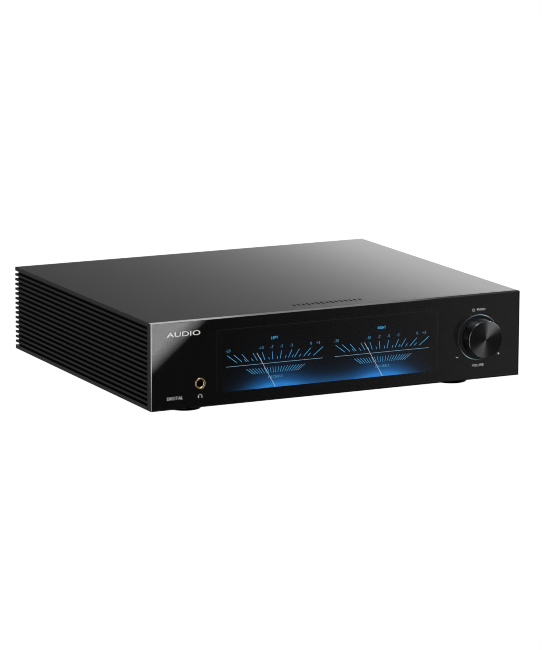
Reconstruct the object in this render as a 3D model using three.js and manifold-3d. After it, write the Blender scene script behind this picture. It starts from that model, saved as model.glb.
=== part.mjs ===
// A desktop digital to analogue converter: a low metal box with ribbed sides, a glass front with a
// display, a push-and-turn knob, a headphone socket, and its sockets and mains parts at the rear.
// Millimetres, +Z up. The front looks along -Y. The origin is under the middle of the whole object.
import * as THREE from "three";
import { mergeVertices } from "three/addons/utils/BufferGeometryUtils.js";
import Module from "manifold-3d";

const wasm = await Module();
wasm.setup();

// ---------------------------------------------------------------- driving dimensions
const BODY_WIDTH = 430;
const BODY_DEPTH = 361;
const BODY_HEIGHT = 91;
const FOOT_HEIGHT = 10;
const KNOB_REACH = 16.5; // how far the knob stands out of the front
const SOCKET_REACH = 9; // how far the longest rear socket stands out past the body's end
const GAP = 0.15; // between pieces that touch
const PLATE = 4.15; // top cover and bottom plate
const FRONT_DEPTH = 9;
const RIM_CHAMFER = 0.9;
const RIM_BORDER = 1.2; // from the body's outline to the glass
const GLASS = 2;

const FRONT = -(KNOB_REACH + BODY_DEPTH + SOCKET_REACH) / 2 + KNOB_REACH; // Y of the front face
const REAR = FRONT + BODY_DEPTH;
const BOTTOM = FOOT_HEIGHT; // Z of the body's underside
const TOP = BOTTOM + BODY_HEIGHT;
const HALF = BODY_WIDTH / 2;
const BEHIND_FRONT = FRONT + FRONT_DEPTH + GAP;
const OVER_FLOOR = BOTTOM + PLATE + GAP;
const UNDER_LID = TOP - PLATE - GAP;

const RIBS = { grooves: 16, pitch: 5.3, groove: 2.9, depth: 3.8, wall: 5 };
const INSIDE = HALF - RIBS.depth - RIBS.wall - GAP; // inner half width between the heatsinks

const KNOB = { x: 165, z: BOTTOM + 45.3, radius: 20, chamfer: 1.1, wall: 3.2, hub: 6 };
const RING = { outer: 24.3, inner: 23.3, depth: 5 };
const SHAFT_RADIUS = 3;
const RUNNING = 0.06; // radial clearance of a shaft in its bore
const BUSHING_RADIUS = 4.5;
const JACK = { x: -160, z: BOTTOM + 24.7, ring: 6.6, bore: 3.3, body: 6 };
const SCREEN = { x: -12.3, z: BOTTOM + 45.5, halfX: 131, halfZ: 35, depth: 6 };
const FEET = { x: 157, inset: 45.5, top: 19.5, bottom: 17, cup: 14, pad: 1.2, bore: 2.2, head: 5.2 };
const STANDOFF = { radius: 3, height: 8 };
const REAR_PANEL = 3;
const REAR_STEP = 0.5; // the rear panel sits this far inside the body's end
const REAR_FACE = REAR - REAR_STEP; // Y of the rear panel's outer face
const REAR_INNER = REAR_FACE - REAR_PANEL;
const BOARD = 1.6;
const BOARD_Z = OVER_FLOOR + STANDOFF.height + 0.2;

// ---------------------------------------------------------------- shapes as solids
// A closed geometry as a solid that can be joined and cut.
function solid(geometry) {
  for (const name of ["normal", "uv"]) geometry.deleteAttribute(name);
  const merged = mergeVertices(geometry, 1e-5);
  const vertProperties = new Float32Array(merged.attributes.position.array);
  const triVerts = new Uint32Array(merged.index.array);
  return new wasm.Manifold(new wasm.Mesh({ numProp: 3, vertProperties, triVerts }));
}

// A block between two corners, given as [low, high] on each axis.
function block(x, y, z) {
  const shape = new THREE.BoxGeometry(x[1] - x[0], y[1] - y[0], z[1] - z[0]);
  shape.translate((x[0] + x[1]) / 2, (y[0] + y[1]) / 2, (z[0] + z[1]) / 2);
  return solid(shape);
}

// A block about a centre [x, z], given its half sizes, between two Y values.
function about([x, z], halfX, halfZ, y) {
  return block([x - halfX, x + halfX], y, [z - halfZ, z + halfZ]);
}

// Moves a shape made along +Z so that its axis lies on the named axis, through a point.
function along(shape, axis, at) {
  if (axis === "y") shape.rotateX(-Math.PI / 2);
  if (axis === "x") shape.rotateY(Math.PI / 2);
  shape.translate(...at);
  return solid(shape);
}

// A turned solid: profile points are [radius, distance along the axis].
function turned(profile, axis, at, segments = 32) {
  const points = profile.map(([radius, distance]) => new THREE.Vector2(radius, distance));
  const shape = new THREE.LatheGeometry(points, segments);
  shape.rotateX(Math.PI / 2); // the lathe axis from +Y to +Z
  return along(shape, axis, at);
}

function rod(radius, from, to, axis, at, segments = 24) {
  return turned([[0, from], [radius, from], [radius, to], [0, to]], axis, at, segments);
}

function tube(outer, inner, from, to, axis, at, segments = 32) {
  const profile = [[inner, from], [outer, from], [outer, to], [inner, to], [inner, from]];
  return turned(profile, axis, at, segments);
}

// A prism from an outline: along Y the outline's points are [x, z], and along Z they are [x, y].
function prism(outline, from, to, axis, at) {
  const shape = new THREE.Shape(outline.map(([across, up]) => new THREE.Vector2(across, up)));
  const body = new THREE.ExtrudeGeometry(shape, { depth: to - from, bevelEnabled: false });
  if (axis === "y") body.translate(0, 0, -to).rotateX(Math.PI / 2);
  else body.translate(0, 0, from);
  body.translate(...at);
  return solid(body);
}

const unite = (first, ...rest) => rest.reduce((whole, piece) => whole.add(piece), first);
const cut = (first, ...rest) => rest.reduce((whole, piece) => whole.subtract(piece), first);

// ---------------------------------------------------------------- finishes
const finish = (color, roughness, metalness) => {
  return new THREE.MeshStandardMaterial({ color, roughness, metalness });
};
const ANODISED = finish(0x1b1c1e, 0.42, 0.9);
const GLOSS = finish(0x050506, 0.06, 0.1);
const BLACK_PLASTIC = finish(0x101113, 0.5, 0);
const RUBBER = finish(0x0b0b0c, 0.85, 0);
const STEEL = finish(0xb5b7ba, 0.35, 1);
const GOLD = finish(0xc9a04e, 0.25, 1);
const BOARD_GREEN = finish(0x14281d, 0.6, 0);
const COPPER = finish(0x9c5a2c, 0.4, 1);
const LIGHT = finish(0xa8d4f0, 0.3, 0);
const WHITE_METAL = finish(0xd8d9db, 0.3, 1);
const CLEAR_PLASTIC = finish(0xd9dde0, 0.15, 0);

const dac = new THREE.Group();

function add(name, piece, material) {
  const { numProp, vertProperties, triVerts } = piece.getMesh();
  if (numProp !== 3) throw new Error(`${name} has more than positions`);
  const geometry = new THREE.BufferGeometry();
  geometry.setAttribute("position", new THREE.BufferAttribute(vertProperties, 3));
  geometry.setIndex(new THREE.BufferAttribute(triVerts, 1));
  geometry.computeVertexNormals();
  const mesh = new THREE.Mesh(geometry, material);
  mesh.name = name;
  dac.add(mesh);
}

// ---------------------------------------------------------------- case
const FOOT_PLACES = [
  ["front_left", -FEET.x, FRONT + FEET.inset],
  ["front_right", FEET.x, FRONT + FEET.inset],
  ["rear_left", -FEET.x, REAR - FEET.inset],
  ["rear_right", FEET.x, REAR - FEET.inset],
];
const STANDOFFS = [
  [-58, 100], [66, 100], [-58, 172], [66, 172],
  [80, 20], [198, 20], [80, 172], [198, 172],
  [-194, 66], [-90, 66], [-194, 150], [-90, 150],
];

function bottomPlate() {
  const y = [BEHIND_FRONT, REAR];
  const plate = block([-HALF, HALF], y, [BOTTOM, BOTTOM + PLATE]);
  const holes = FOOT_PLACES.map(([, x, fy]) => {
    return rod(FEET.bore, -1, PLATE + 1, "z", [x, fy, BOTTOM], 16);
  });
  const posts = STANDOFFS.map(([x, sy]) => {
    return rod(STANDOFF.radius, -0.5, STANDOFF.height, "z", [x, sy, BOTTOM + PLATE], 8);
  });
  return unite(cut(plate, ...holes), ...posts);
}

function heatsink(side) {
  const low = OVER_FLOOR;
  const high = UNDER_LID;
  const middle = BOTTOM + BODY_HEIGHT / 2;
  const inner = HALF - RIBS.depth;
  const outline = [[inner - RIBS.wall, low], [inner, low]];
  for (let groove = 0; groove < RIBS.grooves - 1; groove += 1) {
    const centre = middle + (groove + 0.5 - (RIBS.grooves - 1) / 2) * RIBS.pitch;
    const half = (RIBS.pitch - RIBS.groove) / 2;
    outline.push([inner, centre - half], [HALF, centre - half]);
    outline.push([HALF, centre + half], [inner, centre + half]);
  }
  outline.push([inner, high], [inner - RIBS.wall, high]);
  const mirrored = side < 0 ? outline.map(([x, z]) => [-x, z]).reverse() : outline;
  return prism(mirrored, BEHIND_FRONT, REAR, "y", [0, 0, 0]);
}

function frontPanel() {
  const shape = new THREE.Shape();
  const w = HALF - RIM_CHAMFER;
  const h = BODY_HEIGHT / 2 - RIM_CHAMFER;
  shape.moveTo(-w, -h).lineTo(w, -h).lineTo(w, h).lineTo(-w, h).lineTo(-w, -h);
  const bevel = { bevelThickness: RIM_CHAMFER, bevelSize: RIM_CHAMFER, bevelSegments: 1 };
  const body = new THREE.ExtrudeGeometry(shape, { depth: FRONT_DEPTH, bevelEnabled: true, ...bevel });
  body.rotateX(-Math.PI / 2).rotateX(Math.PI);
  body.translate(0, FRONT + FRONT_DEPTH + RIM_CHAMFER, BOTTOM + BODY_HEIGHT / 2);
  const keep = block([-HALF, HALF], [FRONT, FRONT + FRONT_DEPTH], [BOTTOM, TOP]);
  const seat = [HALF - RIM_BORDER, BODY_HEIGHT / 2 - RIM_BORDER];
  const glassSeat = about([0, BOTTOM + BODY_HEIGHT / 2], ...seat, [FRONT - 1, FRONT + GLASS + GAP]);
  const behind = [FRONT - 1, FRONT + FRONT_DEPTH + 1];
  const screen = about([SCREEN.x, SCREEN.z], SCREEN.halfX + 0.5, SCREEN.halfZ + 0.5, behind);
  const ringSeat = tube(RING.outer + GAP, RING.inner - GAP, -1, RING.depth + GAP, "y",
    [KNOB.x, FRONT, KNOB.z], 40);
  const knobHole = rod(BUSHING_RADIUS + 0.1, -1, FRONT_DEPTH + 1, "y", [KNOB.x, FRONT, KNOB.z], 16);
  const jackHole = rod(JACK.body + 0.2, -1, FRONT_DEPTH + 1, "y", [JACK.x, FRONT, JACK.z], 24);
  return cut(solid(body).intersect(keep), glassSeat, screen, ringSeat, knobHole, jackHole);
}

function frontGlass() {
  const edge = RIM_BORDER + GAP;
  const middle = [0, BOTTOM + BODY_HEIGHT / 2];
  const sheet = about(middle, HALF - edge, BODY_HEIGHT / 2 - edge, [FRONT, FRONT + GLASS]);
  const knobHole = rod(RING.outer + 0.1, -1, GLASS + 1, "y", [KNOB.x, FRONT, KNOB.z], 40);
  const jackHole = rod(JACK.body + 0.2, -1, GLASS + 1, "y", [JACK.x, FRONT, JACK.z], 24);
  return cut(sheet, knobHole, jackHole);
}

add("bottom_plate", bottomPlate(), ANODISED);
add("top_cover", block([-HALF, HALF], [BEHIND_FRONT, REAR], [TOP - PLATE, TOP]), ANODISED);
add("left_heatsink", heatsink(-1), ANODISED);
add("right_heatsink", heatsink(1), ANODISED);
add("front_panel", frontPanel(), ANODISED);
add("front_glass", frontGlass(), GLOSS);

// ---------------------------------------------------------------- feet
const SHELF = FEET.pad + 0.6; // underside of the foot's web, which the screw's head rests on
const WEB = 3;
for (const [place, x, y] of FOOT_PLACES) {
  const foot = [
    [FEET.bore, SHELF + WEB], [FEET.head, SHELF + WEB], [FEET.head, SHELF], [FEET.cup, SHELF],
    [FEET.cup, 0.6], [FEET.bottom, 0.6], [FEET.top, 5], [FEET.top, FOOT_HEIGHT - GAP],
    [FEET.bore, FOOT_HEIGHT - GAP], [FEET.bore, SHELF + WEB],
  ];
  const screw = [
    [0, SHELF + 0.4], [4.4, SHELF + 0.4], [4.4, SHELF + WEB - GAP], [2, SHELF + WEB - GAP],
    [2, BOTTOM + PLATE + 3], [0, BOTTOM + PLATE + 3],
  ];
  const pad = tube(FEET.cup - GAP, FEET.head + 0.2, 0, FEET.pad + 0.4, "z", [x, y, 0], 24);
  add(`${place}_foot`, turned(foot, "z", [x, y, 0], 28), BLACK_PLASTIC);
  add(`${place}_foot_pad`, pad, RUBBER);
  add(`${place}_foot_screw`, turned(screw, "z", [x, y, 0], 12), STEEL);
}

// ---------------------------------------------------------------- display
function displayBracket() {
  const back = FRONT + FRONT_DEPTH + GAP;
  const { x, z } = SCREEN;
  const halfX = SCREEN.halfX + 8;
  const halfZ = SCREEN.halfZ + 3;
  const plate = about([x, z], halfX, halfZ, [back, back + 1.5]);
  const cableHole = about([x, z - 7], 60, 15, [back - 1, back + 3]);
  const shelf = block([x - halfX, x + halfX], [back + 1, back + 12], [z - halfZ, z - halfZ + 1.5]);
  return unite(cut(plate, cableHole), shelf);
}

const screenFront = FRONT + GLASS + GAP;
const screenDepth = [screenFront, screenFront + SCREEN.depth];
add("display_module", about([SCREEN.x, SCREEN.z], SCREEN.halfX, SCREEN.halfZ, screenDepth), GLOSS);
add("display_bracket", displayBracket(), STEEL);

// ---------------------------------------------------------------- headphone socket
const jackAt = [JACK.x, FRONT, JACK.z];
add("headphone_bushing", turned([
  [JACK.bore, 0.6], [JACK.bore + 1.2, -0.6], [JACK.ring - 0.4, -0.6], [JACK.ring, -0.2],
  [JACK.ring, -GAP], [JACK.body, -GAP], [JACK.body, FRONT_DEPTH + 1], [JACK.bore, FRONT_DEPTH + 1],
  [JACK.bore, 0.6],
], "y", jackAt, 24), GOLD);

function headphoneJack() {
  const from = FRONT + FRONT_DEPTH + 1.2;
  const body = about([JACK.x, JACK.z], 8, 8, [from, from + 26]);
  return cut(body, rod(JACK.bore, -1, 23, "y", [JACK.x, from, JACK.z], 24));
}
add("headphone_jack", headphoneJack(), BLACK_PLASTIC);

// ---------------------------------------------------------------- volume knob and its encoder
// Distances along the knob's axis are from the front face, and less than 0 is in front of it.
const knobAt = [KNOB.x, FRONT, KNOB.z];
const face = -KNOB_REACH;
const hubBack = -3;
const boreEnd = face + 4;
const knobBack = -0.6;
const shaftBore = SHAFT_RADIUS + RUNNING;
const KEY = { y: FRONT - 7, radius: 1.6 }; // the radial hole for the grub screw, in the knob's underside

function volumeKnob() {
  const skirt = KNOB.radius - KNOB.wall;
  const profile = [
    [0, face], [KNOB.radius - KNOB.chamfer, face], [KNOB.radius, face + KNOB.chamfer],
    [KNOB.radius, knobBack - 0.5], [KNOB.radius - 0.5, knobBack], [skirt, knobBack],
    [skirt, face + 3.5], [KNOB.hub, face + 3.5], [KNOB.hub, hubBack], [shaftBore, hubBack],
    [shaftBore, boreEnd], [0, boreEnd],
  ];
  const keyHole = rod(KEY.radius, -KNOB.radius - 1, -SHAFT_RADIUS, "z", [KNOB.x, KEY.y, KNOB.z], 12);
  return cut(turned(profile, "y", knobAt, 40), keyHole);
}

function grubScrew() {
  const at = [KNOB.x, KEY.y, KNOB.z];
  const screw = rod(KEY.radius - GAP, -KNOB.hub + 0.2, -SHAFT_RADIUS - GAP, "z", at, 12);
  return cut(screw, rod(0.7, -KNOB.hub, -4.2, "z", at, 6));
}

function encoderBody() {
  const back = FRONT_DEPTH + GAP;
  const bushing = tube(BUSHING_RADIUS, shaftBore, -1.6, back + 0.5, "y", knobAt, 16);
  const can = about([KNOB.x, KNOB.z], 8, 7, [FRONT + back, FRONT + back + 8]);
  const hollow = rod(6, back + 1.6, back + 12, "y", knobAt, 16);
  const bore = rod(shaftBore, back - 1, back + 12, "y", knobAt, 16);
  return unite(cut(can, hollow, bore), bushing);
}

const shaftEnd = FRONT_DEPTH + 8.6;
add("knob_light_ring", tube(RING.outer, RING.inner, 0, RING.depth, "y", knobAt, 40), LIGHT);
add("volume_knob", volumeKnob(), ANODISED);
add("knob_grub_screw", grubScrew(), STEEL);
add("encoder_shaft", rod(SHAFT_RADIUS, boreEnd + GAP, shaftEnd, "y", knobAt, 16), STEEL);
add("encoder_body", encoderBody(), STEEL);
add("encoder_nut", cut(
  rod(7.5, -0.9, GLASS, "y", knobAt, 6),
  rod(BUSHING_RADIUS + 0.05, -2, 3, "y", knobAt, 16)), STEEL);
const rotor = tube(5.5, shaftBore, FRONT_DEPTH + 2.2, FRONT_DEPTH + 6.8, "y", knobAt, 16);
add("encoder_rotor", rotor, BLACK_PLASTIC);

const boardFront = FRONT + FRONT_DEPTH + 9.6;
const plungerFront = shaftEnd + GAP;
const plungerRadius = 1.5;
const plunger = rod(plungerRadius, plungerFront, plungerFront + 5, "y", knobAt, 12);
add("switch_plunger", plunger, BLACK_PLASTIC);

function controlBoard() {
  const plate = block([132, 198], [boardFront, boardFront + BOARD], [BOTTOM + 18, BOTTOM + 76]);
  return cut(plate, rod(2.4, -1, 40, "y", knobAt, 16));
}
add("control_board", controlBoard(), BOARD_GREEN);

function pushSwitch() {
  const y = boardFront + BOARD + GAP;
  const body = about([KNOB.x, KNOB.z], 4, 4, [y, y + 6]);
  return cut(body, rod(plungerRadius + RUNNING, -1, 4.5, "y", [KNOB.x, y, KNOB.z], 12));
}
add("push_switch", pushSwitch(), BLACK_PLASTIC);

// ---------------------------------------------------------------- boards and power parts inside
const board = (x, y) => block(x, y, [BOARD_Z, BOARD_Z + BOARD]);
add("main_board", board([-62, 72], [94, 178]), BOARD_GREEN);
add("output_board", board([76, 203], [14, 178]), BOARD_GREEN);
add("power_board", board([-200, -84], [60, 156]), BOARD_GREEN);
add("divider_wall", unite(
  block([-80, -78.5], [-150, 165], [OVER_FLOOR, UNDER_LID - 12]),
  block([-80, -70], [-150, 165], [OVER_FLOOR, OVER_FLOOR + 1.5])), STEEL);

for (const [name, y] of [["digital", -84], ["analogue", 8]]) {
  const at = [-140, y, OVER_FLOOR]; // the windings sit round a clamp bolted down through their middle
  const core = [[14, 3], [17, 0], [39, 0], [43, 4], [43, 34], [39, 38], [17, 38], [14, 35], [14, 3]];
  add(`${name}_transformer`, turned(core, "z", at, 24), COPPER);
  const clamp = [[0, 30], [3, 30], [10, 38.2], [30, 38.2], [32, 40], [30, 41], [8, 41], [6, 34], [0, 34]];
  add(`${name}_transformer_clamp`, turned(clamp, "z", at, 16), STEEL);
}
for (const [name, x] of [["left", -178], ["right", -146]]) {
  const can = [[0, 0], [12.5, 0], [12.5, 3], [12, 3.6], [12.5, 4.2], [12.5, 39], [11.7, 40], [0, 40]];
  add(`${name}_reservoir_capacitor`, turned(can, "z", [x, 84, BOARD_Z + BOARD + GAP], 16), BLACK_PLASTIC);
}

// ---------------------------------------------------------------- rear panel and its sockets
// The middle of each socket, as [x, z].
const SOCKETS = {
  inlet: [-170, BOTTOM + 36],
  rocker: [-170, BOTTOM + 68],
  slim: [-96, BOTTOM + 48],
  usb: [-66, BOTTOM + 48],
  optical: [-40, BOTTOM + 48],
  coaxial: [-14, BOTTOM + 48],
  balancedInput: [22, BOTTOM + 48],
  trigger: [52, BOTTOM + 48],
  leftRca: [86, BOTTOM + 62],
  rightRca: [86, BOTTOM + 34],
  leftOutput: [128, BOTTOM + 48],
  rightOutput: [172, BOTTOM + 48],
};
const INLET = { halfX: 14, halfZ: 17, flange: 3, recessZ: 4.5, drawerZ: -12 };
const ROCKER = { halfX: 10.5, halfZ: 7, wall: 1.5, rim: 3, pivot: 1, tilt: 20, reach: 9.2, crease: 1.2 };
const BALANCED = { halfX: 13, halfZ: 15.5, shell: 11.9, recess: 9.5, slot: 1.6, pin: 1.2, circle: 4.75 };
const LATCH = { halfX: 3.2, low: 11.2, high: 14.4, deep: 3.2 };
const RCA = { bore: 1.6, barrel: 4.15, body: 4.2, collar: 6.4, clearance: 0.2 };
const MOUTH = { half: 2.9, deep: 9, pocket: 2, crown: 6.3, shell: 4.7 };
const SHUTTER = { half: 2.75, thick: 1, back: 1.6, top: 4.2 };
const TRIGGER = { bore: 1.75, body: 3, collar: 4.6 };
const COLLAR = 1.6; // how far a flange or collar stands out of the rear panel

const OUTSIDE = REAR_FACE + GAP; // where a flange starts
const shifted = ([x, z], dx, dz) => [x + dx, z + dz];
const through = (place, halfX, halfZ) => about(place, halfX, halfZ, [REAR_INNER - 1, REAR_FACE + 1]);
const roundThrough = ([x, z], radius, segments = 24) => {
  return rod(radius, -1, REAR_PANEL + 1, "y", [x, REAR_INNER, z], segments);
};
// The three contacts of a balanced plug, round the middle of its socket.
const CONTACTS = [[-BALANCED.circle, 0], [BALANCED.circle, 0], [0, -BALANCED.circle]];

function rearPanel() {
  const plate = block([-INSIDE, INSIDE], [REAR_INNER, REAR_FACE], [OVER_FLOOR, UNDER_LID]);
  const s = SOCKETS;
  const rockerWall = ROCKER.wall + 0.2;
  const threaded = [s.coaxial, s.leftRca, s.rightRca];
  const balanced = [s.balancedInput, s.leftOutput, s.rightOutput];
  return cut(plate,
    through(s.inlet, INLET.halfX + 0.2, INLET.halfZ + 0.2),
    through(s.rocker, ROCKER.halfX + rockerWall, ROCKER.halfZ + rockerWall),
    through(s.slim, 7.7, 3),
    through(s.usb, 6.2, 5.7),
    through(shifted(s.optical, 0, 0.8), 4.9, 5.7),
    through(shifted(s.balancedInput, 0, 12.4), LATCH.halfX + 0.8, 2.8),
    roundThrough(s.trigger, TRIGGER.body + 0.2, 16),
    ...threaded.map((place) => roundThrough(place, RCA.body + RCA.clearance, 16)),
    ...balanced.map((place) => roundThrough(place, BALANCED.shell + 0.2, 24)));
}
add("rear_panel", rearPanel(), ANODISED);

// Mains inlet: a flange outside, a shell inside, three pins in the recess, a drawer for the fuse.
const drawerPlace = shifted(SOCKETS.inlet, 0, INLET.drawerZ);
function mainsInlet() {
  const place = SOCKETS.inlet;
  const { halfX, halfZ } = INLET;
  const flange = about(place, halfX + INLET.flange, halfZ + INLET.flange, [OUTSIDE, REAR_FACE + 2.6]);
  const shell = about(place, halfX, halfZ, [REAR_FACE - 24, REAR_FACE + 1]);
  const mouth = shifted(place, 0, INLET.recessZ);
  const recess = about(mouth, 12.2, 8.4, [REAR_FACE - 17, REAR_FACE + 4]);
  const bay = about(drawerPlace, 10.2, 3.7, [REAR_FACE - 22, REAR_FACE + 4]);
  const pins = [[-7, -2], [0, 2], [7, -2]].map(([x, z]) => {
    return about(shifted(mouth, x, z), 1, 2, [REAR_FACE - 18, REAR_FACE - 1]);
  });
  return unite(cut(unite(flange, shell), recess, bay), ...pins);
}
add("mains_inlet", mainsInlet(), BLACK_PLASTIC);

function fuseDrawer() {
  const box = about(drawerPlace, 10, 3.5, [REAR_FACE - 20, REAR_FACE + 2.6]);
  const lip = about(shifted(drawerPlace, 0, 2.25), 4, 1.25, [REAR_FACE + 2, REAR_FACE + 4]);
  const cradle = about(shifted(drawerPlace, -1.05, 0.6), 9.05, 3.4, [REAR_FACE - 16, REAR_FACE - 6]);
  return cut(unite(box, lip), cradle);
}
add("fuse_drawer", fuseDrawer(), BLACK_PLASTIC);
const fuseAt = [drawerPlace[0] - 1.5, REAR_FACE - 11, drawerPlace[1] + 0.1];
add("mains_fuse", rod(2.6, -8.5, 8.5, "x", fuseAt, 16), CLEAR_PLASTIC);

// Mains rocker: a frame with an open box behind it, and a rocker that tips about a cross axis.
function rockerFrame() {
  const place = SOCKETS.rocker;
  const { halfX, halfZ, wall } = ROCKER;
  const rim = about(place, halfX + ROCKER.rim, halfZ + ROCKER.rim, [OUTSIDE, REAR_FACE + 2]);
  const shell = about(place, halfX + wall, halfZ + wall, [REAR_FACE - 16, REAR_FACE + 1]);
  const well = about(place, halfX, halfZ, [REAR_FACE - 13, REAR_FACE + 4]);
  return cut(unite(rim, shell), well);
}
add("rocker_frame", rockerFrame(), BLACK_PLASTIC);

// The rocker's two faces meet in a shallow V whose angle is its whole tilt. At rest the face on the
// -X side lies parallel to the panel and the other one stands out.
function rockerCap() {
  const { reach, crease } = ROCKER;
  const lift = Math.tan(THREE.MathUtils.degToRad(ROCKER.tilt)) * reach;
  const outline = [
    [-reach, crease], [-reach + 1.2, -2.5], [0, -4.5], [reach - 1.2, -2.5], [reach, crease + lift],
    [0, crease],
  ];
  const [x, z] = SOCKETS.rocker;
  const halfZ = ROCKER.halfZ - 0.3;
  return prism(outline, -halfZ, halfZ, "z", [x, REAR_FACE - ROCKER.pivot, z]);
}
add("power_rocker", rockerCap(), BLACK_PLASTIC);

// Balanced sockets: a square flange with a round shell.
function balancedShell([x, z]) {
  const flange = about([x, z], BALANCED.halfX, BALANCED.halfZ, [OUTSIDE, REAR_FACE + 2]);
  return unite(flange, rod(BALANCED.shell, -20, 1, "y", [x, REAR_FACE, z], 24));
}

function balancedOutput(place) {
  const [x, z] = place;
  const recess = rod(BALANCED.recess, -15, 4, "y", [x, REAR_FACE, z], 24);
  const pins = CONTACTS.map(([px, pz]) => {
    return rod(BALANCED.pin, -16, -1, "y", [x + px, REAR_FACE, z + pz], 10);
  });
  return unite(cut(balancedShell(place), recess), ...pins);
}
add("left_balanced_output", balancedOutput(SOCKETS.leftOutput), STEEL);
add("right_balanced_output", balancedOutput(SOCKETS.rightOutput), STEEL);

// Balanced input: a ring-shaped slot round a core with three holes, and a latch tab above it.
function balancedInput() {
  const [x, z] = SOCKETS.balancedInput;
  const { recess } = BALANCED;
  const slot = tube(recess, recess - BALANCED.slot, -15, 4, "y", [x, REAR_FACE, z], 24);
  const holes = CONTACTS.map(([px, pz]) => rod(1.5, -15, 4, "y", [x + px, REAR_FACE, z + pz], 10));
  const bay = block(
    [x - LATCH.halfX - 0.3, x + LATCH.halfX + 0.3],
    [REAR_FACE - LATCH.deep - 3, REAR_FACE + 4],
    [z + recess - 0.6, z + LATCH.high + 0.5]);
  return cut(balancedShell([x, z]), slot, ...holes, bay);
}
add("balanced_digital_input", balancedInput(), STEEL);

function latchTab() {
  const [x, z] = SOCKETS.balancedInput;
  return block(
    [x - LATCH.halfX, x + LATCH.halfX],
    [REAR_FACE - LATCH.deep, REAR_FACE + 3],
    [z + LATCH.low, z + LATCH.high]);
}
add("input_latch", latchTab(), STEEL);

// RCA sockets: a barrel outside, a collar against the panel, a body inside.
function rcaSocket([x, z]) {
  const end = SOCKET_REACH + REAR_STEP;
  const profile = [
    [RCA.bore, -10], [RCA.body, -10], [RCA.body, GAP], [RCA.collar, GAP], [RCA.collar, COLLAR],
    [RCA.barrel, COLLAR], [RCA.barrel, end], [RCA.bore, end], [RCA.bore, -10],
  ];
  return turned(profile, "y", [x, REAR_FACE, z], 16);
}
add("left_rca_output", rcaSocket(SOCKETS.leftRca), GOLD);
add("right_rca_output", rcaSocket(SOCKETS.rightRca), GOLD);
add("coaxial_input", rcaSocket(SOCKETS.coaxial), GOLD);

// Optical input: a square mouth closed by a shutter that swings in under its top edge.
function opticalInput() {
  const [x, z] = SOCKETS.optical;
  const { half, deep, pocket, shell: wall } = MOUTH;
  const flange = block([x - 7, x + 7], [OUTSIDE, REAR_FACE + COLLAR], [z - 7, z + 7.5]);
  const shell = block([x - wall, x + wall], [REAR_FACE - 12, REAR_FACE + 1], [z - wall, z + MOUTH.crown]);
  const mouth = about([x, z], half, half, [REAR_FACE - deep, REAR_FACE + 3]);
  const roof = block([x - half, x + half], [REAR_FACE - deep, REAR_FACE - 0.3], [z, z + half + pocket]);
  return cut(unite(flange, shell), mouth, roof);
}
add("optical_input", opticalInput(), BLACK_PLASTIC);

function opticalShutter() {
  const [x, z] = SOCKETS.optical;
  const front = REAR_FACE - SHUTTER.back;
  return block(
    [x - SHUTTER.half, x + SHUTTER.half],
    [front, front + SHUTTER.thick],
    [z - SHUTTER.half, z + SHUTTER.top]);
}
add("optical_shutter", opticalShutter(), BLACK_PLASTIC);

// A metal shell with a shaped mouth and a tongue inside it.
function shellSocket(place, shellHalf, shellDepth, mouth, mouthDepth, tongue) {
  const shell = about(place, ...shellHalf, [REAR_FACE - shellDepth, REAR_FACE + 0.8]);
  const opening = prism(mouth, REAR_FACE - mouthDepth, REAR_FACE + 2, "y", [place[0], 0, place[1]]);
  return unite(cut(shell, opening), tongue);
}

function usbInput() {
  const place = SOCKETS.usb;
  const mouth = [[-4.2, -3.9], [4.2, -3.9], [4.2, 2.2], [2.5, 3.9], [-2.5, 3.9], [-4.2, 2.2]];
  const tongue = about(place, 2.8, 1.6, [REAR_FACE - 12, REAR_FACE - 1]);
  return shellSocket(place, [6, 5.5], 14, mouth, 10, tongue);
}
add("usb_input", usbInput(), WHITE_METAL);

function slimInput() {
  const place = SOCKETS.slim;
  const mouth = [[-5.4, -2.2], [5.4, -2.2], [7, -0.4], [7, 2.2], [-7, 2.2], [-7, -0.4]];
  const tongue = about(shifted(place, 0, 0.35), 5.5, 0.55, [REAR_FACE - 10, REAR_FACE - 1.5]);
  return shellSocket(place, [7.5, 2.8], 11, mouth, 9, tongue);
}
add("slim_digital_input", slimInput(), WHITE_METAL);

function triggerJack() {
  const [x, z] = SOCKETS.trigger;
  const { bore, body, collar } = TRIGGER;
  const profile = [
    [bore, -12], [body, -12], [body, GAP], [collar, GAP], [collar, COLLAR], [bore, COLLAR], [bore, -12],
  ];
  return turned(profile, "y", [x, REAR_FACE, z], 16);
}
add("trigger_jack", triggerJack(), BLACK_PLASTIC);

export default dac;
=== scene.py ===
import math
import bmesh
import bpy
from mathutils import Matrix, Vector


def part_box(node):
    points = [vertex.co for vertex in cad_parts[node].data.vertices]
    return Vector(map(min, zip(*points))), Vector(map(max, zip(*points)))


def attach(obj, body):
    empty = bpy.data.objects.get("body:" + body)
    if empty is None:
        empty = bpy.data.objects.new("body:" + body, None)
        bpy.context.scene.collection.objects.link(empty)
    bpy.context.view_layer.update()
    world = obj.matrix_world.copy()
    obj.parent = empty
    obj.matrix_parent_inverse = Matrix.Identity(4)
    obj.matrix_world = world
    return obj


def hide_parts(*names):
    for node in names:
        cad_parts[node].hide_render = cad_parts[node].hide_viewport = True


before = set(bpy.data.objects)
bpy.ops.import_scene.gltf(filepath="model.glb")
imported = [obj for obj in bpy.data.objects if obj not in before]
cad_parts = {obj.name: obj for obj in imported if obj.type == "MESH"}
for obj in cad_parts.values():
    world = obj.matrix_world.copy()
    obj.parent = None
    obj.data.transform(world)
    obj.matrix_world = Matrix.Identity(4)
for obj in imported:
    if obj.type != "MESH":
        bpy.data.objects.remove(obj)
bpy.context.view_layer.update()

# ------------------------------------------------------------------ places, in millimetres
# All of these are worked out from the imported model, so a piece goes where its CAD node is.
MM = 0.001


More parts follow.
